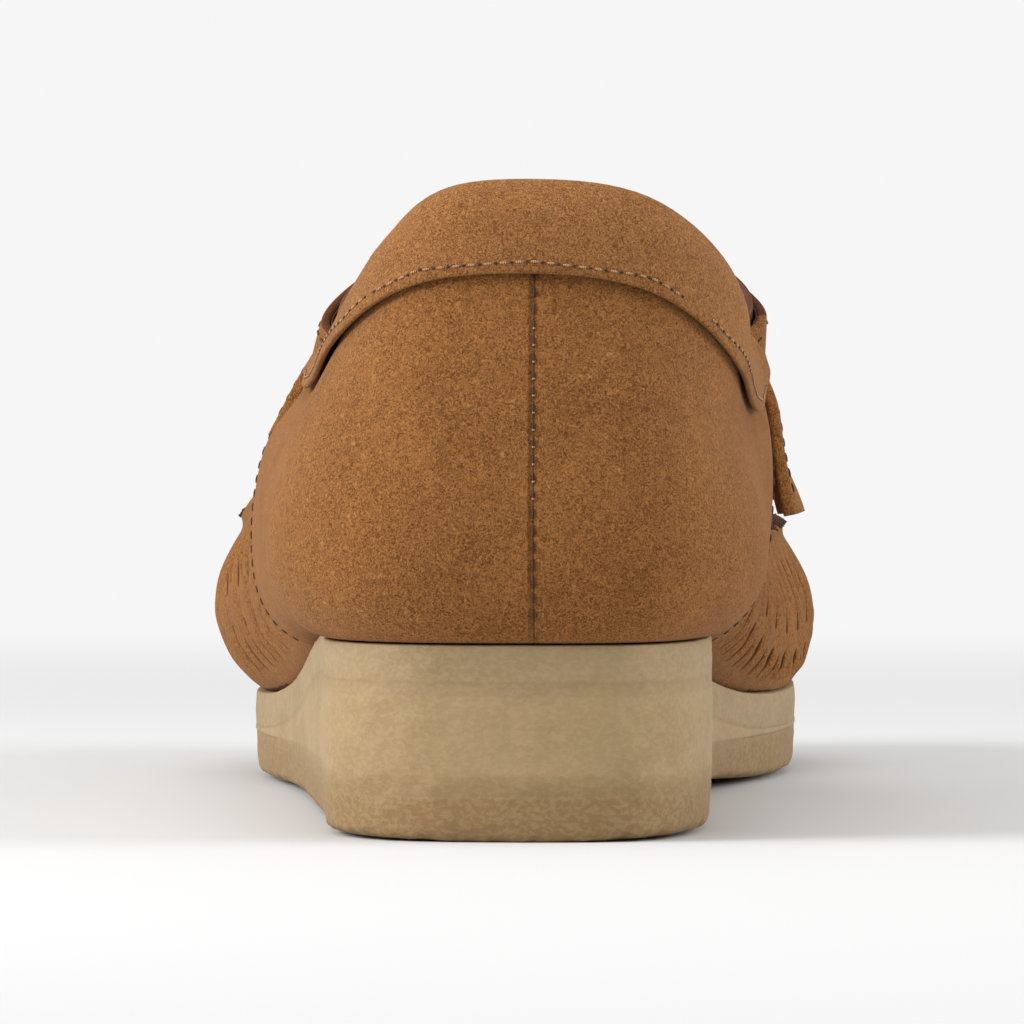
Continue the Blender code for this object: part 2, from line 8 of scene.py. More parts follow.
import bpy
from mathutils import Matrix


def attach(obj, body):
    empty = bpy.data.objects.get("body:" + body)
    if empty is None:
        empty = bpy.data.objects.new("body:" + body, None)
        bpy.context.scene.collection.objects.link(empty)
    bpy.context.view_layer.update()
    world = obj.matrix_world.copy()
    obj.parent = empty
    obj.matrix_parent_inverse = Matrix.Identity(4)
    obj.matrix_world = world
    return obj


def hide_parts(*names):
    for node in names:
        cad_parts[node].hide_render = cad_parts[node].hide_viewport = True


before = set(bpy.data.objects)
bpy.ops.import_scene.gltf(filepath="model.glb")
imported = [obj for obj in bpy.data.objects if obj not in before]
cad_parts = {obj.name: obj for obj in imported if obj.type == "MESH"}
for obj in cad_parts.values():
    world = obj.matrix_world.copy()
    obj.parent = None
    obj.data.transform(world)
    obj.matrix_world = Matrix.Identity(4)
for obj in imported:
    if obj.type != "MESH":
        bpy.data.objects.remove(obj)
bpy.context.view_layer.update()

import math
from collections import namedtuple

import bmesh
import bpy
import numpy as np
from mathutils import Matrix, Vector, noise
from mathutils.bvhtree import BVHTree

# %% [markdown]
# ## Camera
#
# The photograph looks at the heel from far away and from just above the collar. The camera stands at that
# same place, so that every edge is seen at the same angle, and a longer lens brings the one shoe up to a
# good size.

# %% Camera
CAMERA_PLACE = Vector((0.0617, -1.9458, 0.1065))
CAMERA_TARGET = Vector((0.0061, -0.1458, 0.0537))
CAMERA_LENS = 391.0

lens = bpy.data.cameras.new("studio_camera")
lens.lens = CAMERA_LENS
lens.sensor_width = 36.0
lens.clip_start = 0.1
camera = bpy.data.objects.new("studio_camera", lens)
camera.location = CAMERA_PLACE
camera.rotation_euler = (CAMERA_TARGET - CAMERA_PLACE).to_track_quat("-Z", "Y").to_euler()
bpy.context.scene.collection.objects.link(camera)
bpy.context.scene.camera = camera
print("camera stands", round((CAMERA_TARGET - CAMERA_PLACE).length, 3), "m from the heel")

# %% [markdown]
# ## Writing materials as expressions
#
# A Blender material is a graph of nodes. Here a small class wraps an output of that graph, so that a sum
# or a product of two patterns can be written as in any program, and each sign adds its Math node.


# %% Shader expressions
class Signal:
    """The output of a shader node, with arithmetic."""

    def __init__(self, finish, socket):
        self.finish = finish
        self.socket = socket

    def math(self, operation, *inputs):
        return self.finish.node("ShaderNodeMath", {"operation": operation}, dict(enumerate(inputs)))

    def __add__(self, other):
        return self.math("ADD", self, other)

    __radd__ = __add__

    def __mul__(self, other):
        return self.math("MULTIPLY", self, other)

    __rmul__ = __mul__

    def __sub__(self, other):
        return self.math("SUBTRACT", self, other)

    def __rsub__(self, other):
        return self.math("SUBTRACT", other, self)

    def size(self):
        return self.math("ABSOLUTE", self)

    def step(self, low, high):
        """0 below low, 1 above high, and a soft ramp between."""
        settings = {"interpolation_type": "SMOOTHSTEP"}
        values = {"Value": self, "From Min": low, "From Max": high}
        return self.finish.node("ShaderNodeMapRange", settings, values)


class Finish:
    """A material and the nodes that are added to it."""

    def __init__(self, name, **constants):
        self.material = bpy.data.materials.new(name)
        self.material.use_nodes = True
        self.tree = self.material.node_tree
        self.shader = self.tree.nodes["Principled BSDF"]
        for name, value in constants.items():
            self.shader.inputs[name.replace("_", " ")].default_value = value
        self.place = self.node("ShaderNodeTexCoord", outlet="Object")

    def node(self, kind, settings=None, values=None, outlet=0):
        made = self.tree.nodes.new(kind)
        for name, value in (settings or {}).items():
            setattr(made, name, value)
        for name, value in (values or {}).items():
            self.feed(made.inputs[name], value)
        return Signal(self, made.outputs[outlet])

    def feed(self, socket, value):
        if isinstance(value, Signal):
            self.tree.links.new(value.socket, socket)
        else:
            socket.default_value = value

    def axes(self):
        split = self.node("ShaderNodeSeparateXYZ", None, {"Vector": self.place}).socket.node
        return [Signal(self, socket) for socket in split.outputs]

    def noise(self, scale, detail=2.0, distortion=0.0, place=None):
        values = {"Vector": place or self.place, "Scale": scale, "Detail": detail, "Distortion": distortion}
        return self.node("ShaderNodeTexNoise", None, values)

    def stretched(self, x, y, z):
        return self.node("ShaderNodeMapping", None, {"Vector": self.place, "Scale": (x, y, z)})

    def blend(self, share, first, second):
        values = {0: share, 6: first, 7: second}
        return self.node("ShaderNodeMix", {"data_type": "RGBA"}, values, outlet=2)

    def relief(self, height, depth, strength=1.0):
        values = {"Height": height, "Distance": depth, "Strength": strength}
        self.feed(self.shader.inputs["Normal"], self.node("ShaderNodeBump", None, values))

    def paint(self, colour, roughness=None):
        self.feed(self.shader.inputs["Base Color"], colour)
        if roughness is not None:
            self.feed(self.shader.inputs["Roughness"], roughness)
        return self.material


def tint(red, green, blue):
    """A colour as read off a screen, 0 to 255, made linear for the shader."""
    screen = [value / 255 for value in (red, green, blue)]
    return (*[v / 12.92 if v < 0.04045 else ((v + 0.055) / 1.055) ** 2.4 for v in screen], 1.0)


# %% [markdown]
# ## Napped suede
#
# Suede is the flesh side of leather, brushed to a short nap. Its fibres lie in small curls of about half a
# millimetre, light at their tips and dark between them, and the whole hide is clouded where the nap was
# stroked. Noise of two sizes gives both, bump stands the curls up, and sheen brightens the rims as real
# fibres do.

# %% Suede
SEAM_X = 0.0097
SEAM_FADE = (-0.125, -0.115)


def suede(name, light, dark, seam=False):
    finish = Finish(name, Roughness=0.92, Sheen_Weight=0.2, Sheen_Roughness=0.5, Specular_IOR_Level=0.15)
    finish.shader.inputs["Sheen Tint"].default_value = tint(255, 206, 156)
    curls = finish.noise(1500, detail=2.0, distortion=2.2)
    fine = finish.noise(4000, detail=1.0)
    clouds = finish.noise(60, detail=3.0, distortion=0.6)
    share = 0.5 + 2.2 * (curls - 0.5) + 0.7 * (fine - 0.5) + 0.4 * (clouds - 0.5)
    colour = finish.blend(share.step(0.0, 1.0), dark, light)
    tips = finish.noise(950, detail=1.0).step(0.70, 0.78)
    colour = finish.blend(tips * 0.4, colour, tint(190, 140, 90))
    height = 0.7 * curls + 0.3 * fine
    if seam:
        x, y, _ = finish.axes()
        beside = (x - SEAM_X).size()
        heel = 1 - y.step(*SEAM_FADE)
        groove = (1 - beside.step(0.0002, 0.0010)) * heel
        joint = (1 - beside.step(0.00008, 0.00028)) * heel
        # The groove beside the heel seam is darkened a little as painted shade. The thin dark line in its
        # middle is the seam's own joint.
        colour = finish.blend(groove * 0.15 + joint * 0.5, colour, tint(56, 28, 12))
        height = height - 2.0 * groove
    finish.relief(height, 0.00042, 0.85)
    return finish.paint(colour)


TAN_LIGHT = tint(160, 107, 57)
TAN_DARK = tint(92, 53, 22)
wall_suede = suede("tan_suede", TAN_LIGHT, TAN_DARK, seam=True)
cuff_suede = suede("cuff_suede", tint(164, 112, 64), tint(100, 60, 28))
print("suedes made")

# %% [markdown]
# ## Cut edges and lining
#
# Where suede is cut, its core shows as a darker brown line. On the sides of the gaps in the weave this brown
# is made darker still as painted shade. Inside, the shoe is lined with smooth brown leather: it has fine
# pores, a low gloss and slightly uneven dye. Behind the weave a darker copy of it is used, and its extra
# darkness is painted shade.


# %% Cut edge and lining
def cut_edge_and_shade():
    finish = Finish("cut_edge_and_shade", Roughness=0.85, Specular_IOR_Level=0.25)
    fibres = finish.noise(1800, detail=3.0)
    finish.relief(fibres, 0.0002)
    return finish.paint(finish.blend(fibres, tint(66, 34, 14), tint(108, 62, 30)))


def leather(name, light, dark):
    finish = Finish(name, Specular_IOR_Level=0.4)
    pores = finish.noise(2600, detail=2.0)
    dye = finish.noise(90, detail=3.0)
    finish.relief(pores, 0.00012, 0.7)
    return finish.paint(finish.blend(dye.step(0.3, 0.7), dark, light), 0.42 + 0.16 * pores)


# The dark brown of the cut suede core, made darker still as painted shade on the sides of the gaps.
edge_brown_and_shade = cut_edge_and_shade()
lining_brown = leather("brown_lining", tint(112, 58, 28), tint(76, 36, 14))
# A darker copy of the lining for the sheet behind the weave. Its extra darkness is painted shade in the gaps.
lining_in_painted_shade = leather("weave_lining_painted_shade", tint(70, 34, 14), tint(44, 20, 7))
footbed_brown = leather("footbed_leather", tint(132, 82, 46), tint(106, 62, 33))
print("lining made")

# %% [markdown]
# ## Crepe rubber
#
# Crepe is pressed from thin sheets of raw latex. It is matte, cloudy and slightly see-through, with faint
# wavy fibres, and the joint of two layers shows only as a soft change of tone. The layer under each point
# is stored on the mesh, so the tones follow the layers wherever they rise or thin out.


# %% Crepe
def crepe_rubber():
    finish = Finish("crepe_rubber", Roughness=0.62, Specular_IOR_Level=0.35, Subsurface_Weight=0.12)
    finish.shader.inputs["Subsurface Scale"].default_value = 0.004
    finish.shader.inputs["Subsurface Radius"].default_value = (1.0, 0.7, 0.4)
    layer = finish.node("ShaderNodeAttribute", {"attribute_name": "layer"}, outlet="Fac")
    clouds = finish.noise(60, detail=4.0, distortion=0.4, place=finish.stretched(1.0, 1.0, 2.2))
    fibres = finish.noise(900, detail=3.0, distortion=0.5, place=finish.stretched(1.0, 1.0, 1.5))
    grain = finish.noise(2600, detail=2.0)
    # The bottom sheet is darker than the sheets above it.
    low = tint(140, 111, 70)
    middle = tint(163, 138, 98)
    top = tint(157, 134, 98)
    colour = finish.blend(layer.step(0.85, 1.15), low, middle)
    colour = finish.blend(layer.step(1.85, 2.15), colour, top)
    colour = finish.blend(clouds.step(0.35, 0.72) * 0.4, colour, tint(134, 108, 70))
    colour = finish.blend(fibres.step(0.42, 0.62) * 0.25, colour, tint(182, 160, 126))
    joint = (1 - (layer - 1.0).size().step(0.0, 0.07)) + (1 - (layer - 2.0).size().step(0.0, 0.09))
    colour = finish.blend(joint * 0.22, colour, tint(116, 92, 58))
    finish.relief(0.5 * fibres + 0.35 * grain + 0.3 * clouds - 0.3 * joint, 0.00022, 0.5)
    return finish.paint(colour)


crepe = crepe_rubber()
print("crepe made")

# %% [markdown]
# ## Taking a piece from the solid shoe
#
# The solid model is made of flat facets. A copy of each piece is merged, its triangles are paired into
# quads and a Subdivision Surface rounds it, while creases keep the cut edges firm. The copy then stands
# for the solid.


# %% Helpers for meshes
def only(piece):
    bpy.ops.object.select_all(action="DESELECT")
    piece.select_set(True)
    bpy.context.view_layer.objects.active = piece
    return piece


def copied(node, name):
    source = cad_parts[node]
    piece = bpy.data.objects.new(name, source.data.copy())
    bpy.context.scene.collection.objects.link(piece)
    piece.data.materials.clear()
    only(piece)
    if piece.data.has_custom_normals:
        bpy.ops.mesh.customdata_custom_splitnormals_clear()
    bpy.ops.object.mode_set(mode="EDIT")
    bpy.ops.mesh.select_all(action="SELECT")
    bpy.ops.mesh.remove_doubles(threshold=0.00001)
    bpy.ops.mesh.tris_convert_to_quads(face_threshold=math.radians(50), shape_threshold=math.radians(60))
    bpy.ops.object.mode_set(mode="OBJECT")
    return piece


def delete_faces(piece, unwanted):
    only(piece)
    bpy.ops.object.mode_set(mode="EDIT")
    bpy.ops.mesh.select_mode(type="FACE")
    bpy.ops.mesh.select_all(action="DESELECT")
    bpy.ops.object.mode_set(mode="OBJECT")
    for face in piece.data.polygons:
        face.select = unwanted(face)
    bpy.ops.object.mode_set(mode="EDIT")
    bpy.ops.mesh.delete(type="FACE")
    bpy.ops.object.mode_set(mode="OBJECT")


def crease_sharp(piece, angle, value):
    """Creases the edges whose two faces turn by more than the angle."""
    mesh = bmesh.new()
    mesh.from_mesh(piece.data)
    layer = mesh.edges.layers.float.get("crease_edge") or mesh.edges.layers.float.new("crease_edge")
    for edge in mesh.edges:
        if len(edge.link_faces) == 2 and edge.calc_face_angle() > math.radians(angle):
            edge[layer] = value
    mesh.to_mesh(piece.data)
    mesh.free()


def modified(piece, kind, **settings):
    only(piece)
    modifier = piece.modifiers.new(kind.title(), kind)
    for name, value in settings.items():
        setattr(modifier, name, value)
    bpy.ops.object.modifier_apply(modifier=modifier.name)
    return piece


def rounded(piece, levels):
    modified(piece, "SUBSURF", levels=levels, render_levels=levels)
    piece.data.shade_smooth()
    return piece


def dressed(piece, slot, *nodes):
    """Hangs a finished piece on the shoe and hides the solid pieces that it stands for."""
    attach(piece, "root")
    if nodes:
        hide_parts(*nodes)
    print(piece.name, len(piece.data.polygons), "faces")
    return piece


def surface(piece):
    mesh = piece.data
    return BVHTree.FromPolygons([v.co for v in mesh.vertices], [p.vertices for p in mesh.polygons])


# %% [markdown]
# ## Inside and outside of the wall
#
# The upper is one wall with an outer and an inner face. A point in the middle of the foot's room tells
# them apart: faces that look away from it are suede, faces that look at it are lining, and the cut sides
# of the gaps lie between the two.

# %% Telling the faces of the wall apart
ROOM_Y = (-0.110, -0.060, 0.000, 0.060, 0.105)
ROOM_X = (0.0075, 0.0075, 0.005, 0.003, 0.003)
ROOM_Z = (0.062, 0.058, 0.050, 0.036, 0.031)


def room(y):
    y = min(max(y, ROOM_Y[0]), ROOM_Y[-1])
    return Vector((np.interp(y, ROOM_Y, ROOM_X), y, np.interp(y, ROOM_Y, ROOM_Z)))


def facing(face):
    """1 for a face that looks straight out of the shoe, -1 for one that looks straight in."""
    centre = face.calc_center_median()
    return face.normal.dot((centre - room(centre.y)).normalized())


# %% [markdown]
# ## The woven upper
#
# One wall of suede runs round the shoe, plain at the heel and sides and cut into slanted strips round the
# front. The strips are rounded by subdivision, but the creases at their rims keep them looking cut and not
# moulded.

# %% Upper
SUEDE, EDGE, LINING = range(3)

upper = copied("upper", "woven_upper")
for finish in (wall_suede, edge_brown_and_shade, lining_brown):
    upper.data.materials.append(finish)
mesh = bmesh.new()
mesh.from_mesh(upper.data)
mesh.normal_update()
for face in mesh.faces:
    face.material_index = LINING if facing(face) < -0.3 else SUEDE
for face in mesh.faces:
    beside = [other for edge in face.edges for other in edge.link_faces if other is not face]
    if abs(facing(face)) < 0.55 and any(facing(other) < -0.55 for other in beside):
        face.material_index = EDGE
mesh.to_mesh(upper.data)
mesh.free()
lining = upper.copy()
lining.data = upper.data.copy()
lining.name = "vamp_lining"
bpy.context.scene.collection.objects.link(lining)
crease_sharp(upper, 55, 0.45)
rounded(upper, 2)
dressed(upper, "suede", "upper")

# %% [markdown]
# ## Lining behind the weave
#
# Brown lining leather shows through every gap, in a darker copy whose extra darkness is painted shade. The
# inner faces of the wall are copied, their holes are filled, and the sheet gets a thickness of its own, so
# the strips have something to lie on.

# %% Lining
delete_faces(lining, lambda face: face.material_index != LINING)
bpy.ops.object.mode_set(mode="EDIT")
bpy.ops.mesh.select_all(action="SELECT")
bpy.ops.mesh.fill_holes(sides=10)
bpy.ops.object.mode_set(mode="OBJECT")
lining.data.materials.clear()
lining.data.materials.append(lining_in_painted_shade)
rounded(lining, 1)
modified(lining, "SOLIDIFY", thickness=0.00022, offset=1.0)
dressed(lining, "lining")

# %% [markdown]
# ## Padded collar
#
# The collar is a foam roll in suede, folded over the top edge and sewn down just above its lip. Subdivision
# rounds the roll. Its inner half, below the crest, is brown leather.

# %% Collar
COLLAR_CENTRE = (0.0085, -0.075)
COLLAR_CREST = 0.1
collar = copied("collar", "padded_collar")
for finish in (cuff_suede, edge_brown_and_shade, lining_brown):
    collar.data.materials.append(finish)
for face in collar.data.polygons:
    out = Vector((face.center.x - COLLAR_CENTRE[0], face.center.y - COLLAR_CENTRE[1], 0.0)).normalized()
    inner = face.normal.dot(out) < -0.35 and face.center.z < COLLAR_CREST
    face.material_index = LINING if inner else SUEDE
crease_sharp(collar, 60, 0.3)
rounded(collar, 2)
dressed(collar, "suede", "collar")

# %% [markdown]
# ## Tongue, strap and footbed
#
# The throat is bound by a smooth brown leather piece whose rim stands above the apron. The strap is a
# plain band of suede over the instep. Both keep firm edges.

# %% Tongue, strap and footbed
tongue = copied("tongue", "throat_leather")
tongue.data.materials.append(lining_brown)
crease_sharp(tongue, 60, 0.5)
rounded(tongue, 2)
dressed(tongue, "lining", "tongue")

strap = copied("saddle_strap", "instep_strap")
strap.data.materials.append(wall_suede)
crease_sharp(strap, 50, 0.6)
rounded(strap, 2)
dressed(strap, "suede", "saddle_strap")

footbed = copied("insole", "footbed")
footbed.data.materials.append(footbed_brown)
crease_sharp(footbed, 50, 0.7)
rounded(footbed, 2)
dressed(footbed, "lining", "insole")

# %% [markdown]
# ## Crepe sole
#
# The sole is glued up from three sheets and ground to one smooth side. The copy of the bottom sheet is
# opened at the top, and its rim is extruded upwards ring by ring to the height of the top sheet, with a
# faint hollow at each joint. The sizes of the rings are in a table, as shares of the sheet that they lie
# in.

# %% Sole: open the bottom sheet
MIDSOLE = 0.0062
JOINT_CHAMFER = 0.0004

crepe_sole = copied("outsole", "crepe_sole")
crepe_sole.data.materials.append(crepe)
delete_faces(crepe_sole, lambda face: face.normal.z > 0.5)
bpy.ops.object.mode_set(mode="EDIT")
bpy.ops.mesh.select_mode(type="VERT")
bpy.ops.mesh.select_all(action="DESELECT")
bpy.ops.mesh.select_non_manifold()
bpy.ops.object.mode_set(mode="OBJECT")

top_sheet = surface(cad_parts["midsole"])
layer = crepe_sole.data.attributes.new("layer", "FLOAT", "POINT")
for vertex in crepe_sole.data.vertices:
    layer.data[vertex.index].value = min(vertex.co.z / 0.009, 1.0)
rim = [v.index for v in crepe_sole.data.vertices if v.select]
print("rim of the open sheet", len(rim), "points")


# %% Sole: outline and heights round the rim
def walk(mesh, chosen):
    """The chosen vertices in their order round the loop."""
    chosen = set(chosen)
    beside = {index: [] for index in chosen}
    for edge in mesh.edges:
        a, b = edge.vertices
        if a in chosen and b in chosen:
            beside[a].append(b)
            beside[b].append(a)
    order = [min(chosen)]
    while len(order) < len(chosen):
        order.append(next(n for n in beside[order[-1]] if n not in order[-2:] and n not in order[:1]))
    return order


loop = walk(crepe_sole.data, rim)
points = [crepe_sole.data.vertices[index].co.copy() for index in loop]
outward = []
for index, point in enumerate(points):
    along = points[(index + 1) % len(points)] - points[index - 1]
    across = Vector((along.y, -along.x, 0.0)).normalized()
    outward.append(across if across.dot(point - Vector((0.005, point.y * 0.8, 0.0))) > 0 else -across)
outline = [point + JOINT_CHAMFER * out for point, out in zip(points, outward)]
lower_joint = [point.z for point in points]
rim_top = []
for point, out in zip(points, outward):
    inside = point - 0.0012 * out
    rim_top.append(top_sheet.ray_cast(Vector((inside.x, inside.y, 0.2)), Vector((0, 0, -1)))[0].z)
upper_joint = [max(top - MIDSOLE, low + 0.0008) for top, low in zip(rim_top, lower_joint)]
print("top of the sole, lowest and highest:", round(min(rim_top), 4), round(max(rim_top), 4), "m")

# %% Sole: extrude the wall
SEAT_RISE = 0.0006
Ring = namedtuple("Ring", "layer inset")
RINGS = (
    Ring(1.00, 0.00015),
    Ring(1.05, 0.00000),
    Ring(1.50, -0.00010),
    Ring(1.95, 0.00000),
    Ring(2.00, 0.00008),
    Ring(2.12, 0.00000),
    Ring(2.90, 0.00002),
    Ring(3.00, 0.00025),
    Ring(3.00, 0.00400),
)
levels = (lower_joint, lower_joint, upper_joint, rim_top)

only(crepe_sole)
bpy.ops.object.mode_set(mode="EDIT")
for number, ring in enumerate(RINGS):
    if number:
        bpy.ops.mesh.extrude_region_move()
    edit = bmesh.from_edit_mesh(crepe_sole.data)
    store = edit.verts.layers.float["layer"]
    below = min(int(ring.layer), 2)
    for vertex in (v for v in edit.verts if v.select):
        column = min(range(len(outline)), key=lambda n: (outline[n].xy - vertex.co.xy).length)
        share = ring.layer - below
        high = levels[below][column] * (1 - share) + levels[below + 1][column] * share
        high += SEAT_RISE * (ring.inset > 0.001)
        place = outline[column] - ring.inset * outward[column]
        vertex.co = (place.x, place.y, high)
        vertex[store] = ring.layer
    bmesh.update_edit_mesh(crepe_sole.data)
bpy.ops.mesh.edge_face_add()
bpy.ops.mesh.select_all(action="SELECT")
bpy.ops.mesh.normals_make_consistent(inside=False)
bpy.ops.object.mode_set(mode="OBJECT")
print("sole wall", len(crepe_sole.data.polygons), "faces")

# %% [markdown]
# ## Crinkled crepe
#
# Crepe creeps and curls a little where it is cut, so its lower edge is scalloped and its side is never
# quite flat. Once the mesh is fine enough, a sum of noises moves its points: outwards a fifth of a
# millimetre, and up along the lower edge by a millimetre and a half at the most. The middle of the tread
# stays flat.

# %% Sole: round it and crinkle it
crease_sharp(crepe_sole, 50, 0.75)
rounded(crepe_sole, 3)
SIDE_WAVE = 0.00022
EDGE_WAVE = 0.0015
EDGE_START = 0.0002
EDGE_HEIGHT = 0.004
normals = [vertex.normal.copy() for vertex in crepe_sole.data.vertices]
moved = []
for vertex, normal in zip(crepe_sole.data.vertices, normals):
    place = vertex.co.copy()
    out = Vector((normal.x, normal.y, 0.0))
    wave = noise.noise(place * 260) + 0.5 * noise.noise(place * 620 + Vector((7, 3, 1)))
    bottom = 1 - min(max((place.z - EDGE_START) / EDGE_HEIGHT, 0.0), 1.0)
    scallop = abs(noise.noise(Vector((place.x * 190, place.y * 190, 4.0))))
    if out.length > 0.2:
        place += out * SIDE_WAVE * wave
    place.z += EDGE_WAVE * scallop * bottom * min(out.length * 1.4, 1.0)
    moved.append(place)
crepe_sole.data.vertices.foreach_set("co", [value for place in moved for value in place])
crepe_sole.data.update()
dressed(crepe_sole, "crepe", "outsole", "heel_wedge", "midsole")

# %% [markdown]
# ## Stitches
#
# A stitch is a short end of twisted thread that dives into a hole at both ends. One is modelled from a
# sphere, and copies of it are set along a line on the surface, turned to follow it, then joined.


# %% Sewing
FLATNESS = 0.8
Stitch = namedtuple("Stitch", "length width")


def model_stitch(length, width):
    bpy.ops.object.select_all(action="DESELECT")
    bpy.ops.mesh.primitive_uv_sphere_add(segments=8, ring_count=6, radius=0.5)
    stitch = bpy.context.object
    bpy.ops.object.mode_set(mode="EDIT")
    bpy.ops.mesh.select_all(action="SELECT")
    bpy.ops.transform.resize(value=(length, width, width * FLATNESS))
    bpy.ops.object.mode_set(mode="OBJECT")
    stitch.data.shade_smooth()
    return stitch


def along_line(points, pitch, start=0.5):
    """Places at an even pitch along a line of points, each with its direction."""
    points = [Vector(point) for point in points]
    steps = [(b - a).length for a, b in zip(points, points[1:])]
    reach = np.concatenate([[0.0], np.cumsum(steps)])
    places = np.arange(start * pitch, reach[-1], pitch)
    columns = [np.interp(places, reach, [p[axis] for p in points]) for axis in range(3)]
    found = [Vector(values) for values in zip(*columns)]
    ends = [found[min(n + 1, len(found) - 1)] - found[max(n - 1, 0)] for n in range(len(found))]
    return [(place, end.normalized()) for place, end in zip(found, ends)]


def sewn(name, carrier, points, pitch, size, finish, sink=0.25, start=0.5, tilt=0.0):
    """A row of stitches on the carrier's surface, joined to one piece."""
    skin = surface(carrier)
    model = model_stitch(size.length, size.width)
    model.data.materials.append(finish)
    made = []
    for place, along in along_line(points, pitch, start):
        spot, normal = skin.find_nearest(place)[:2]
        across = normal.cross(along).normalized()
        ahead = across.cross(normal).normalized()
        ahead = (ahead * math.cos(tilt) + across * math.sin(tilt)).normalized()
        across = normal.cross(ahead)
        stitch = bpy.data.objects.new(name, model.data.copy())
        turn = Matrix((ahead, across, normal)).transposed().to_4x4()
        stitch.data.transform(Matrix.Translation(spot + normal * size.width * (0.5 - sink) * FLATNESS) @ turn)
        bpy.context.scene.collection.objects.link(stitch)
        made.append(stitch)
    bpy.data.objects.remove(model)
    bpy.ops.object.select_all(action="DESELECT")
    for stitch in made:
        stitch.select_set(True)
    bpy.context.view_layer.objects.active = made[0]
    bpy.ops.object.join()
    made[0].name = name
    return dressed(made[0], "lining")


def thread(name, light, dark):
    finish = Finish(name, Roughness=0.6, Specular_IOR_Level=0.3)
    values = {"Vector": finish.place, "Scale": 900.0, "Distortion": 1.0}
    twist = finish.node("ShaderNodeTexWave", None, values)
    finish.relief(twist, 0.0001)
    return finish.paint(finish.blend(twist, dark, light))


brown_thread = thread("brown_thread", tint(86, 50, 24), tint(46, 24, 10))
pale_thread = thread("pale_thread", tint(196, 156, 116), tint(140, 98, 62))
# Dark leather for small blobs sunk into the needle holes. They are painted shade standing in for the dark
# inside each hole.
needle_hole_shade = leather("needle_hole_shade", tint(52, 28, 12), tint(40, 20, 8))

# %% [markdown]
# ## Rows of stitches
#
# The rows follow the shoe's own lines: the lip of the collar, the ridge of the moccasin seam, the edge of
# the throat and the front edges of the quarters. Each line is a short table of points on the solid shoe,
# and every stitch is then set on the nearest skin.

# %% Lines of the sewing
LIP = (  # x, y, z in mm, from the medial front round the back to the lateral front
    (47.3, -31.5, 73.1), (46.9, -35.9, 72.1), (46.8, -41.8, 70.6), (46.2, -57.1, 68.5),
    (45.3, -73.9, 69.6), (44.8, -91.7, 72.0), (44.4, -109.0, 74.5), (41.5, -125.9, 80.0),
    (29.4, -142.4, 90.1), (9.2, -146.4, 92.8), (-10.1, -143.7, 91.3), (-23.3, -128.8, 83.0),
    (-27.6, -109.3, 77.7), (-29.3, -91.4, 75.1), (-31.1, -74.9, 73.4), (-32.6, -58.9, 72.9),
    (-33.2, -43.6, 73.8), (-33.3, -37.3, 74.4), (-33.7, -32.8, 74.6),
)
RIDGE = (  # x, y, z in mm, from the lateral side round the toe
    (-38.5, -19.5, 62.2), (-40.1, -5.1, 59.0), (-41.9, 9.3, 55.2), (-43.9, 23.7, 51.5),
    (-46.0, 38.2, 48.4), (-47.5, 52.9, 46.5), (-47.9, 67.6, 45.7), (-46.8, 82.3, 45.5),
    (-43.9, 96.9, 45.4), (-39.0, 110.7, 45.4), (-31.7, 123.3, 46.0), (-22.0, 134.0, 47.0),
    (-9.6, 141.6, 48.3), (4.3, 144.8, 49.0), (18.0, 142.3, 48.4), (30.5, 135.0, 47.0),
    (39.9, 123.9, 45.6), (45.4, 110.5, 44.6), (47.2, 96.2, 44.2), (46.7, 81.9, 43.9),
    (45.2, 67.7, 43.7), (43.9, 53.5, 44.5), (43.5, 38.8, 47.8), (43.9, 23.8, 53.1),
    (44.7, 8.8, 58.6), (45.3, -5.7, 62.7), (45.6, -19.8, 64.9),
)
THROAT = (  # x, y, z in mm, from the lateral side over the instep
    (-28.1, -34.7, 78.1), (-31.0, -27.3, 81.8), (-24.6, -18.5, 89.1), (-15.2, -12.1, 94.1),
    (-6.4, -8.9, 95.9), (1.0, -7.1, 97.0), (6.7, -6.2, 97.4), (12.2, -7.0, 97.1),
    (18.5, -8.3, 96.1), (27.9, -11.6, 94.2), (38.3, -17.1, 90.0), (46.1, -25.0, 83.5),
    (43.7, -34.0, 78.6),
)
LATERAL_EDGE = (  # x, y, z in mm, upwards
    (-32.6, -49.8, 29.6), (-36.5, -45.5, 32.2), (-39.3, -41.1, 36.3), (-40.6, -36.5, 41.9),
    (-41.1, -31.4, 50.3), (-39.4, -25.9, 60.2), (-36.8, -26.2, 64.8), (-34.4, -29.0, 67.8),
    (-31.3, -32.3, 72.0), (-28.3, -35.6, 76.4), (-26.2, -37.9, 79.5),
)
MEDIAL_EDGE = (  # x, y, z in mm, upwards
    (36.5, -49.5, 29.7), (41.0, -44.6, 32.4), (43.9, -40.0, 36.8), (45.3, -35.6, 42.7),
    (46.3, -30.7, 51.2), (46.0, -25.5, 61.7), (45.2, -26.3, 66.7), (44.6, -29.0, 69.6),
    (43.8, -32.2, 73.4), (43.0, -35.5, 77.2), (42.4, -37.7, 79.9),
)


def line(rows, rise=0.0):
    return [Vector(row) * 0.001 + Vector((0.0, 0.0, rise)) for row in rows]


def heel_line(low, high, count=30):
    """Points up the centre of the heel, found from behind."""
    skin = surface(upper)
    heights = np.linspace(low, high, count)
    return [skin.ray_cast(Vector((SEAM_X, -0.3, z)), Vector((0, 1, 0)))[0] for z in heights]


HEEL_SEAM = heel_line(0.036, 0.092)
HEEL_KNOTS = heel_line(0.056, 0.086)
print("heel seam from", HEEL_SEAM[0], "to", HEEL_SEAM[-1])

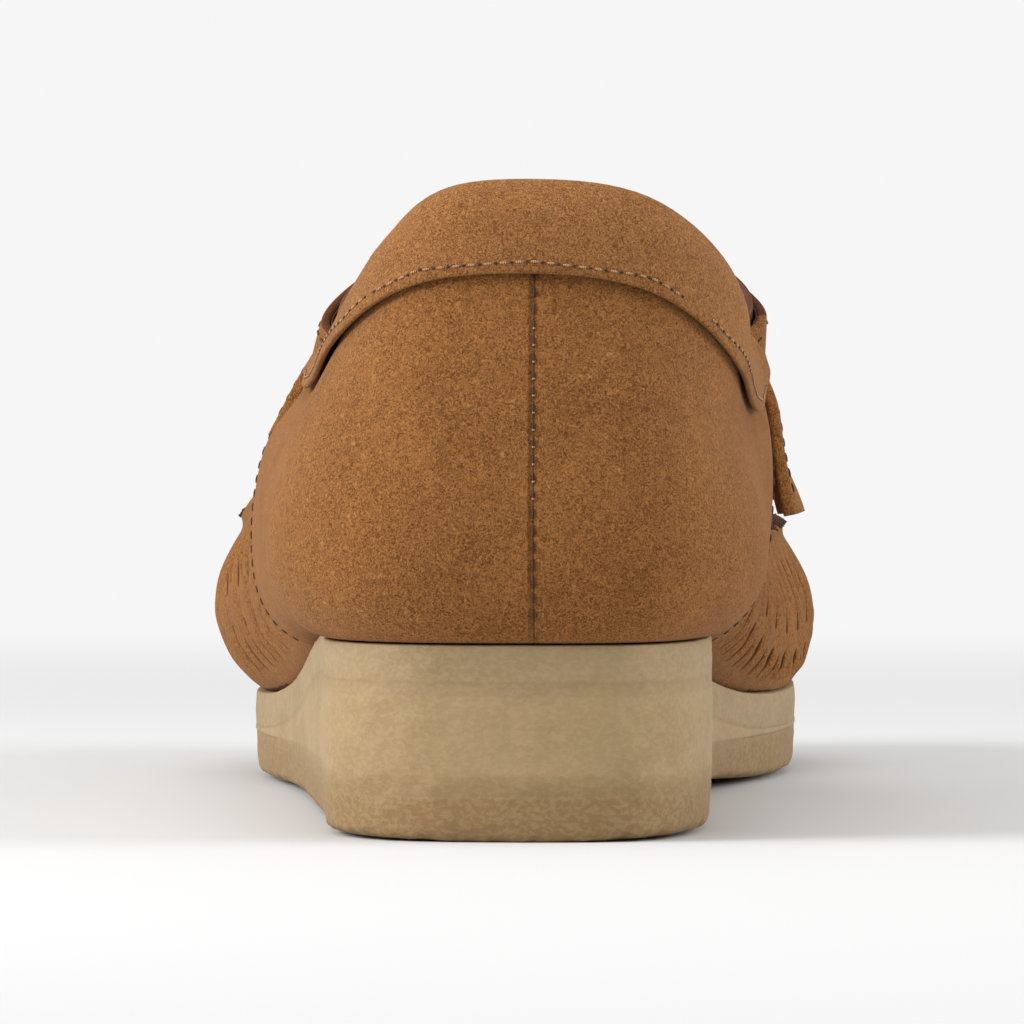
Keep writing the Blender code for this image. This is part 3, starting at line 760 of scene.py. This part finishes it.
# %% Collar and heel stitches
LIP_TO_STITCH = 0.0016
COLLAR_PITCH = 0.0026
HEEL_PITCH = 0.0028
COLLAR_STITCH = Stitch(0.0014, 0.00045)
COLLAR_HOLE_SHADE = Stitch(0.0007, 0.0005)
HEEL_STITCH = Stitch(0.0019, 0.00048)
HEEL_KNOT = Stitch(0.0005, 0.0005)

row = line(LIP[2:-2], LIP_TO_STITCH)
sewn("collar_stitches", collar, row, COLLAR_PITCH, COLLAR_STITCH, pale_thread)
# Painted shade: a dark blob in each needle hole between the collar stitches.
sewn("collar_hole_shades", collar, row, COLLAR_PITCH, COLLAR_HOLE_SHADE, needle_hole_shade, start=0.0, sink=0.4)
sewn("heel_stitches", upper, HEEL_SEAM, HEEL_PITCH, HEEL_STITCH, brown_thread, sink=0.35)
sewn("heel_knots", upper, HEEL_KNOTS, HEEL_PITCH, HEEL_KNOT, pale_thread, start=0.0, sink=0.35)

# %% Vamp, throat and quarter stitches
SEAM_PITCH = 0.0042
SEAM_STITCH = Stitch(0.0034, 0.00075)
SEAM_TILT = math.radians(72)
THROAT_PITCH = 0.0029
THROAT_STITCH = Stitch(0.0019, 0.0005)
EDGE_PITCH = 0.0027
EDGE_STITCH = Stitch(0.0017, 0.00048)

sewn("seam_stitches", upper, line(RIDGE[4:-4]), SEAM_PITCH, SEAM_STITCH, brown_thread, tilt=SEAM_TILT)
sewn("throat_stitches", upper, line(THROAT), THROAT_PITCH, THROAT_STITCH, brown_thread)
sewn("lateral_edge_stitches", upper, line(LATERAL_EDGE), EDGE_PITCH, EDGE_STITCH, brown_thread)
sewn("medial_edge_stitches", upper, line(MEDIAL_EDGE), EDGE_PITCH, EDGE_STITCH, brown_thread)

# %% Strap stitches
STRAP_Y = 0.0061
STRAP_EDGE = 0.0098
STRAP_HEART = (0.0039, 0.039)
OUTSIDE = 0.12


def strap_line(y):
    skin = surface(strap)
    found = []
    for angle in np.radians(np.linspace(16, 148, 34)):
        ray = Vector((math.cos(angle), 0.0, math.sin(angle)))
        start = Vector((STRAP_HEART[0], y, STRAP_HEART[1])) + OUTSIDE * ray
        hit = skin.ray_cast(start, -ray)[0]
        if hit:
            found.append(hit)
    return found


for name, side in (("strap_heel_stitches", -STRAP_EDGE), ("strap_toe_stitches", STRAP_EDGE)):
    sewn(name, strap, strap_line(STRAP_Y + side), EDGE_PITCH, EDGE_STITCH, brown_thread)

# %% [markdown]
# ## Floor and light
#
# The floor is a pale disc. Near the shoe it takes light and shadow, and further out it glows as evenly as
# the backdrop, so no horizon shows. Two large soft lights stand at the sides and one above, as in a photo
# studio.

# %% Floor
BACKDROP = 0.922
PAPER = 0.655
GLOW_START = 0.28
GLOW_FULL = 0.75

bpy.ops.object.select_all(action="DESELECT")
bpy.ops.mesh.primitive_circle_add(vertices=96, radius=7.0, fill_type="NGON")
floor = bpy.context.object
floor.name = "studio_floor"
paper = Finish("studio_paper", Roughness=0.9, Specular_IOR_Level=0.1)
paper.paint((PAPER, PAPER, PAPER, 1.0))
glow = paper.node("ShaderNodeEmission", None, {"Color": (1.0, 1.0, 1.0, 1.0), "Strength": BACKDROP})
x, y, _ = paper.axes()
distance = (x * x + y * y).math("SQRT", x * x + y * y)
far = distance.step(GLOW_START, GLOW_FULL)
mixed = paper.node("ShaderNodeMixShader", None, {0: far})
paper.tree.links.new(paper.shader.outputs[0], mixed.socket.node.inputs[1])
paper.tree.links.new(glow.socket, mixed.socket.node.inputs[2])
paper.tree.links.new(mixed.socket, paper.tree.nodes["Material Output"].inputs["Surface"])
floor.data.materials.append(paper.material)

# %% World and lamps
SKY = 0.52

world = bpy.data.worlds.new("studio_air")
world.use_nodes = True
bpy.context.scene.world = world
air = world.node_tree
sky = air.nodes["Background"]
sky.inputs["Color"].default_value = (1.0, 1.0, 1.0, 1.0)
sky.inputs["Strength"].default_value = SKY
seen = air.nodes.new("ShaderNodeBackground")
seen.inputs["Color"].default_value = (1.0, 1.0, 1.0, 1.0)
seen.inputs["Strength"].default_value = BACKDROP
path = air.nodes.new("ShaderNodeLightPath")
pick = air.nodes.new("ShaderNodeMixShader")
air.links.new(path.outputs["Is Camera Ray"], pick.inputs[0])
air.links.new(sky.outputs[0], pick.inputs[1])
air.links.new(seen.outputs[0], pick.inputs[2])
air.links.new(pick.outputs[0], air.nodes["World Output"].inputs["Surface"])

Lamp = namedtuple("Lamp", "name place power size")
LAMPS = (
    Lamp("left_softbox", (-1.15, -0.50, 0.70), 19.0, 0.7),
    Lamp("right_softbox", (1.20, -0.10, 0.60), 9.0, 0.7),
    Lamp("top_softbox", (-0.10, -0.25, 1.40), 8.0, 1.2),
)
for lamp in LAMPS:
    light = bpy.data.lights.new(lamp.name, "AREA")
    light.energy = lamp.power
    light.size = lamp.size
    holder = bpy.data.objects.new(lamp.name, light)
    holder.location = lamp.place
    holder.rotation_euler = (Vector((0.0, -0.05, 0.05)) - holder.location).to_track_quat("-Z", "Y").to_euler()
    bpy.context.scene.collection.objects.link(holder)
bpy.context.scene.view_settings.view_transform = "Standard"
print("studio lit by", len(LAMPS), "lamps")
